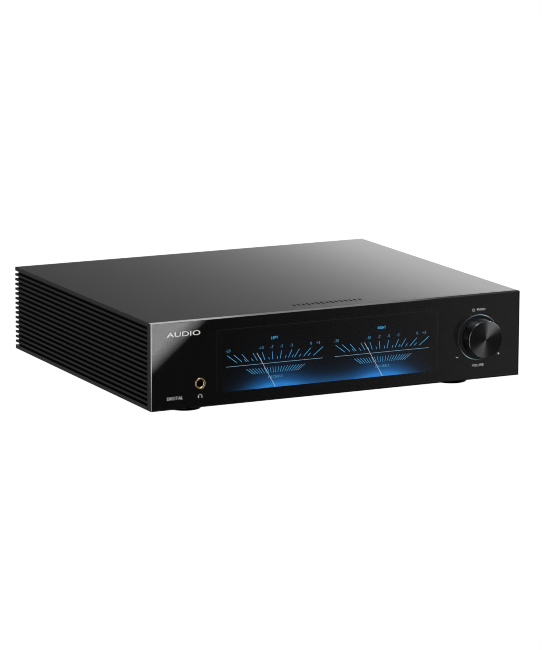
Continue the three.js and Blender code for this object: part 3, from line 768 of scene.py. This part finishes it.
def ring_outline(x, z, radius, width, start, end, steps=28):
    """An open ring's outline, between two angles in degrees from the right-hand side."""
    turns = [math.radians(start + (end - start) * step / steps) for step in range(steps + 1)]

    def arc(reach):
        return [(x + reach * math.cos(turn), z + reach * math.sin(turn)) for turn in turns]

    return arc(radius + width / 2) + arc(radius - width / 2)[::-1]


def make_legends():
    """Plain words and signs printed on the glass, where the real one has its own. Their ink has a painted
    glow, so that it reads as white.
    """
    near, far = FRONT - 0.015, FRONT - 0.005
    signs = [
        words("AUDIO", 4.9, -178.4, up(77.8), near, far, heavy=0.0, width=37.5),
        words("DIGITAL", 3.4, -188.5, up(11.7), near, far, heavy=-0.09, width=17.8),
        words("VOLUME", 2.6, 164.8, up(15.0), near, far, heavy=-0.06, width=14),
        words("PUSH", 2.4, 167.8, up(74.9), near, far, heavy=-0.03, width=9.8),
        # minus and plus
        strokes([((138.4, up(25.5)), (140.8, up(25.5))), ((188.6, up(25.6)), (190.8, up(25.6)))], 0.4,
                near, far),
        strokes([((189.7, up(24.5)), (189.7, up(26.7)))], 0.4, near, far),
        # the power sign
        plate([ring_outline(158.9, up(74.9), 1.4, 0.25, 120, 420)], near, far),
        strokes([((158.9, up(75.5)), (158.9, up(76.9)))], 0.25, near, far),
        # the headphone sign
        plate([ring_outline(-160.0, up(11.8), 1.9, 0.3, 0, 180)], near, far),
        strokes([((x, up(11.8)), (x, up(10.0))) for x in (-161.9, -158.1)], 0.7, near, far),
    ]
    piece("front_legends", joined(signs), LEGEND_WITH_PAINTED_GLOW)


# ------------------------------------------------------------------ knob and headphone socket
# The light ring's colour by the angle from its right-hand side.
RING_GLOW = (
    (-180, (0.003, 0.008, 0.012)), (-165, (0.004, 0.01, 0.015)), (-150, (0.03, 0.05, 0.07)),
    (-120, (0.34, 0.47, 0.52)), (-100, (0.09, 0.15, 0.19)), (-75, (0.005, 0.012, 0.02)),
    (30, (0.01, 0.03, 0.05)), (50, (0.12, 0.18, 0.21)), (73, (0.46, 0.6, 0.65)), (90, (0.2, 0.3, 0.37)),
    (115, (0.07, 0.11, 0.14)), (135, (0.006, 0.014, 0.02)), (180, (0.003, 0.008, 0.012)),
)


def ring_light():
    """A lit diffuser whose glow is brighter in two arcs, one near the top and one low on the left."""
    material = finish("ring_light", (0.01, 0.014, 0.02), 0.4, Emission_Strength=1.0)
    tree = material.node_tree
    split = node(material, "ShaderNodeSeparateXYZ")
    link(material, place_of(material), split.inputs["Vector"])
    across = calc(tree, "SUBTRACT", split.outputs["X"], KNOB.mid.x * MM)
    height = calc(tree, "SUBTRACT", split.outputs["Z"], KNOB.mid.z * MM)
    turn = calc(tree, "MULTIPLY", calc(tree, "ARCTAN2", height, across), math.degrees(1))
    colour = ramped(tree, calc(tree, "DIVIDE", calc(tree, "ADD", turn, 180.0), 360.0),
                    [((angle + 180) / 360, shade) for angle, shade in RING_GLOW])
    link(material, colour, shader_of(material).inputs["Emission Color"])
    return material


def make_knob():
    at = (KNOB.mid.x, FRONT, KNOB.mid.z)
    face = KNOB.low.y - FRONT
    back = KNOB.high.y - FRONT
    radius = KNOB.size.x / 2
    sag, chamfer, wall = 0.6, 0.4, 3.2
    hub, bore = 6, 3.06
    dish = [((radius - chamfer) * share, face + sag * share ** 2)
            for share in (0.0, 0.2, 0.4, 0.6, 0.8, 1.0)]
    outer = [(radius, face + sag + chamfer), (radius, back - 0.6), (radius - 0.15, back - 0.15),
             (radius - 0.6, back)]
    inner = [(radius - wall, back), (radius - wall, face + 3.5), (hub, face + 3.5), (hub, -3.0),
             (bore, -3.0), (bore, face + 4), (0, face + 4)]

    def part_of(first, second):
        """Which finish a band has: 0 for the face, 1 for the chamfer, 2 for the side and the inside."""
        farthest = max(first[1], second[1])
        return 0 if farthest < face + sag + 0.05 else 1 if farthest < face + sag + chamfer + 0.05 else 2

    mesh = turned(dish + outer + inner, at, segments=160, materials_at=part_of)
    knob = piece("volume_knob_turned", mesh, [KNOB_FACE, KNOB_EDGE, KNOB_SIDE], "knob",
                 "volume_knob", 25)
    knob.visible_glossy = False  # the glass behind it shows no mirror image of it
    only_knob = bpy.data.collections.new("lit_by_right_front")
    only_knob.objects.link(knob)
    bpy.data.objects["right_front"].light_linking.receiver_collection = only_knob
    ring_at = (RING.mid.x, FRONT, RING.mid.z)
    wide = RING.size.x / 2
    narrow = wide - 0.6
    profile = [(narrow, 0.1), (narrow + 0.1, 0), (wide - 0.1, 0), (wide, 0.1), (wide, 5), (narrow, 5),
               (narrow, 0.1)]
    # only its front face is lit
    ring = turned(profile, ring_at, segments=160, materials_at=lambda a, b: int(max(a[1], b[1]) > 1))
    piece("light_ring", ring, [ring_light(), SOCKET_BLACK], replaces="knob_light_ring")
    for name in ("encoder_nut", "encoder_body", "encoder_shaft", "knob_grub_screw"):
        paint(name, STEEL)


def make_headphone_socket():
    at = (BUSHING.mid.x, FRONT, BUSHING.mid.z)
    crest = [(3.3, 1.8), (3.45, 0.9), (3.9, 0.1), (4.5, -0.35), (5.1, -0.5), (5.6, -0.42), (5.95, -0.15),
             (6.0, 0.2)]
    profile = fillet(crest, 0.3, 3)
    body = [(6.0, 9.9), (3.3, 9.9), profile[0]]
    piece("headphone_bushing_turned", turned(profile + body, at, segments=96), GOLD,
          replaces="headphone_bushing")
    paint("headphone_jack", SOCKET_BLACK)


# ------------------------------------------------------------------ feet
def make_feet():
    for place in ("front_left", "front_right", "rear_left", "rear_right"):
        foot, pad = Box(f"{place}_foot"), Box(f"{place}_foot_pad")
        at = (foot.mid.x, foot.mid.y, 0)
        wide, tall = foot.size.x / 2, foot.high.z
        low = wide - 2.5
        rubber = pad.size.x / 2
        cup = rubber + 0.15
        head, bore = 5.2, 2.2  # radii of the screw's head room and of its hole
        outline = [(head, 1.8), (cup, 1.8), (cup, 0.6), (low, 0.6), (wide, 5.0), (wide, tall), (bore, tall),
                   (bore, 4.8), (head, 4.8)]
        profile = fillet(outline, 0.5, 3, closed=True)
        mesh = turned(profile + [profile[0]], at, "z", 96)
        piece(f"{place}_foot_turned", mesh, FOOT_BLACK, replaces=f"{place}_foot")
        outline = [(5.5, 0.0), (rubber, 0.0), (rubber, pad.high.z), (5.5, pad.high.z)]
        ring = fillet(outline, 0.3, 3, closed=True)
        piece(f"{place}_foot_rubber", turned(ring + [ring[0]], at, "z", 64), RUBBER,
              replaces=f"{place}_foot_pad")
        paint(f"{place}_foot_screw", STEEL)


# ------------------------------------------------------------------ rear
def make_rear():
    paint("rear_panel", REAR_BLACK)
    for name in ("left_balanced_output", "right_balanced_output", "balanced_digital_input", "input_latch",
                 "usb_input", "slim_digital_input"):
        paint(name, NICKEL)
    for name in ("left_rca_output", "right_rca_output", "coaxial_input"):
        paint(name, GOLD)
    for name in ("mains_inlet", "fuse_drawer", "rocker_frame", "power_rocker", "optical_input",
                 "optical_shutter", "trigger_jack"):
        paint(name, BLACK_PLASTIC)
    near, far = FACE + 0.005, FACE + 0.02

    def label(text, x, z, cap=2.8):
        return words(text, cap, x, z, near, far, "rear", heavy=0.04)

    plain = [label("OUTPUTS", 132, 89, 3.4), label("INPUTS", -38, 89, 3.4), label("MAINS", -170, 20.5)]
    for name, text in (("left_balanced_output", "L"), ("right_balanced_output", "R"),
                       ("left_rca_output", "L"), ("right_rca_output", "R")):
        box = Box(name)
        plain.append(label(text, box.mid.x, box.high.z + 4, 3.2))
    inputs = ("balanced_digital_input", "coaxial_input", "optical_input", "usb_input", "slim_digital_input")
    for number, name in enumerate(inputs):
        plain.append(label(str(number + 1), Box(name).mid.x, 80, 3.4))
    plain.append(label("TRIGGER", Box("trigger_jack").mid.x, Box("trigger_jack").low.z - 5, 2.2))
    for start, end in ((-105, 36), (77, 190)):
        plain.append(strokes([((start, 84.5), (end, 84.5))], 0.3, near, far))
    piece("rear_legends", joined(plain), REAR_LEGEND)
    for name, material in (("left_rca_output", WHITE_PLASTIC), ("right_rca_output", RED_PLASTIC),
                           ("coaxial_input", ORANGE_PLASTIC)):
        box = Box(name)
        collar = [(6.6, 0.05), (8.2, 0.05), (8.2, 0.45), (7.9, 0.7), (6.6, 0.7), (6.6, 0.05)]
        piece(f"{name}_collar", turned(collar, (box.mid.x, FACE, box.mid.z)), material)
    screw = [(0, 0.9), (0.55, 0.9), (0.6, 1.3), (1.7, 1.15), (2.5, 0.7), (2.7, 0.05), (0, 0.05)]
    places = [(x, z) for x in (-199, -70, 65, 199) for z in (19, 92)]
    heads = [turned(screw, (x, FACE, z), segments=40) for x, z in places]
    piece("rear_screws", joined(heads), STEEL)


def make_inside():
    """The parts under the covers keep their CAD shapes."""
    for name in ("control_board", "main_board", "output_board", "power_board"):
        paint(name, BOARD)
    for name in ("digital_transformer", "analogue_transformer"):
        paint(name, WINDING)
    for name in ("digital_transformer_clamp", "analogue_transformer_clamp", "divider_wall"):
        paint(name, STEEL)
    paint("mains_fuse", WHITE_PLASTIC)
    for name in ("left_reservoir_capacitor", "right_reservoir_capacitor", "encoder_rotor", "switch_plunger",
                 "push_switch"):
        paint(name, BLACK_PLASTIC)


# ------------------------------------------------------------------ studio
# The camera, fitted to the edges of the object in the photo: degrees, metres, and millimetres for LENS.
AZIMUTH, ELEVATION, ROLL = 26.313, 11.168, 0.207
AIM = Vector((0.0076, 0.0, 0.05))
DISTANCE = 3.888
LENS = 198.94


def make_camera():
    data = bpy.data.cameras.new("camera")
    data.lens = LENS
    data.sensor_width = 36
    data.clip_start = 0.01
    camera = bpy.data.objects.new("camera", data)
    bpy.context.scene.collection.objects.link(camera)
    yaw, pitch = math.radians(AZIMUTH), math.radians(ELEVATION)
    forward = Vector((math.sin(yaw) * math.cos(pitch), math.cos(yaw) * math.cos(pitch), -math.sin(pitch)))
    camera.matrix_world = (Matrix.Translation(AIM - forward * DISTANCE)
                           @ forward.to_track_quat("-Z", "Y").to_matrix().to_4x4()
                           @ Matrix.Rotation(math.radians(ROLL), 4, "Z"))
    bpy.context.scene.camera = camera


def make_floor():
    """A white floor and, far behind it, a round white wall. Only the camera sees them, though the
    floor still stops light from below."""
    white = lit("floor", (1, 1, 1), 1.0, (0.02, 0.02, 0.02))
    ground, wall = bmesh.new(), bmesh.new()
    bmesh.ops.create_grid(ground, x_segments=1, y_segments=1, size=30)
    bmesh.ops.create_cone(wall, cap_ends=False, segments=96, radius1=25, radius2=25, depth=80)
    for name, built in (("floor", ground), ("backdrop", wall)):
        shape = bpy.data.objects.new(name, mesh_from(name, built))
        bpy.context.scene.collection.objects.link(shape)
        shape.data.materials.append(white)
        shape.visible_glossy = False
        shape.visible_diffuse = False
        shape.visible_transmission = False
        shape.visible_shadow = name == "floor"


def area_light(name, low, high, facing, radiance):
    """A flat soft light between two corners in metres, thin along the axis it faces."""
    low, high = Vector(low), Vector(high)
    middle = (low + high) / 2
    toward = Vector(facing)
    data = bpy.data.lights.new(name, "AREA")
    data.shape = "RECTANGLE"
    light = bpy.data.objects.new(name, data)
    bpy.context.scene.collection.objects.link(light)
    turn = toward.to_track_quat("-Z", "Y")
    light.location = middle
    light.rotation_euler = turn.to_euler()
    span = high - low
    data.size = max(abs(span.dot(turn @ Vector((1, 0, 0)))), 0.01)
    data.size_y = max(abs(span.dot(turn @ Vector((0, 1, 0)))), 0.01)
    data.energy = radiance * data.size * data.size_y * 4
    light.visible_camera = False


# How bright the studio's walls are along the horizon: the turn and the radiance there.
WALLS = ((-180, 0.2), (-150, 0.3), (-100, 0.3), (-80, 0.3), (-50, 0.3), (-35, 0.08), (0, 0.05),
         (24, 0.05), (26, 0.053), (27.4, 0.096), (29, 0.141), (30.2, 0.237), (45, 0.25), (90, 0.2),
         (140, 0.2), (180, 0.2))


CARD_LIGHT = 3.0
SCREEN_LIGHT = 1.6
CARD_CORNER = (25.23, -11.13)  # turn and rise of a point on the card's slanting edge
CARD_SLOPE = (0.694, 0.72)  # the direction across that edge


def make_world():
    """The studio, by the direction seen from the object: turn in degrees round from the front towards
    the right, and rise in degrees above the horizon."""
    world = bpy.data.worlds.new("studio")
    bpy.context.scene.world = world
    world.use_nodes = True
    tree = world.node_tree
    background = tree.nodes["Background"]
    split = tree.nodes.new("ShaderNodeSeparateXYZ")
    tree.links.new(tree.nodes.new("ShaderNodeTexCoord").outputs["Generated"], split.inputs["Vector"])

    def maths(operation, first, second=None):
        return calc(tree, operation, first, second)

    def product(*values):
        total = values[0]
        for value in values[1:]:
            total = maths("MULTIPLY", total, value)
        return total

    x, y, z = (split.outputs[axis] for axis in "XYZ")
    degree = math.degrees(1)
    turn = product(maths("ARCTAN2", x, product(y, -1.0)), degree)
    rise = product(maths("ARCSINE", z), degree)

    def turned_past(start, end):
        return between(tree, turn, start, end)

    def risen_past(start, end):
        return between(tree, rise, start, end)

    walls = ramped(tree, maths("DIVIDE", maths("ADD", turn, 180.0), 360.0),
                   [((angle + 180) / 360, (radiance,) * 3) for angle, radiance in WALLS])
    walls = product(walls, risen_past(-60.0, -25.0))
    # the bright card whose lower corner shows in the left end of the glass
    edge = maths("SUBTRACT", product(maths("SUBTRACT", turn, CARD_CORNER[0]), CARD_SLOPE[0]),
                 product(maths("SUBTRACT", rise, CARD_CORNER[1]), CARD_SLOPE[1]))
    card = product(between(tree, edge, 0.02, -0.22), turned_past(22.5, 23.2), risen_past(-5.0, -7.0),
                   CARD_LIGHT)
    # a white screen on the left, with a dark gap low down that shows in the left chamfer
    screen = maths("MAXIMUM", product(risen_past(-12.3, -11.8), risen_past(30.0, 24.0)),
                   product(risen_past(-17.0, -20.0), risen_past(-42.0, -36.0)))
    screen = product(screen, turned_past(-74.0, -71.0), turned_past(-53.0, -56.0), SCREEN_LIGHT)
    # the ceiling, which is brighter overhead
    overhead = product(risen_past(30.0, 80.0), turned_past(50.0, 35.0), 0.4)
    ceiling = maths("ADD", overhead, 0.14)
    share = risen_past(-4.0, 6.0)
    low = product(maths("ADD", walls, card), maths("SUBTRACT", 1.0, share))
    total = maths("ADD", maths("ADD", low, product(ceiling, share)), screen)
    tree.links.new(total, background.inputs["Color"])
    background.inputs["Strength"].default_value = 1.0


def make_lights():
    make_world()
    area_light("right_panel", (0.3, -0.2, 0.2), (1.5, 3.0, 0.2), (0, 0, -1), 1.5)
    area_light("overhead", (-0.9, -0.7, 1.6), (0.3, 0.9, 1.6), (0, 0, -1), 0.6)
    area_light("right_front", (1.2, -1.7, 0.16), (1.2, -0.35, 1.2), (-1, 0, 0), 22.0)
    area_light("knob_top", (-0.1, -0.7, 1.0), (0.0, 0.2, 1.0), (0, 0, -1), 7.0)
    area_light("edge_left", (-0.35, -0.45, 0.6), (0.116, -0.12, 0.6), (0, 0, -1), 1.03)
    area_light("edge_right", (0.116, -0.45, 0.6), (0.368, -0.12, 0.6), (0, 0, -1), 0.38)
    bpy.context.scene.view_settings.view_transform = "Standard"
    bpy.context.scene.cycles.filter_width = 1.0  # keeps the fine marks crisp


make_camera()
make_floor()
make_lights()
make_case()
make_front()
make_knob()
make_headphone_socket()
make_feet()
make_rear()
make_inside()
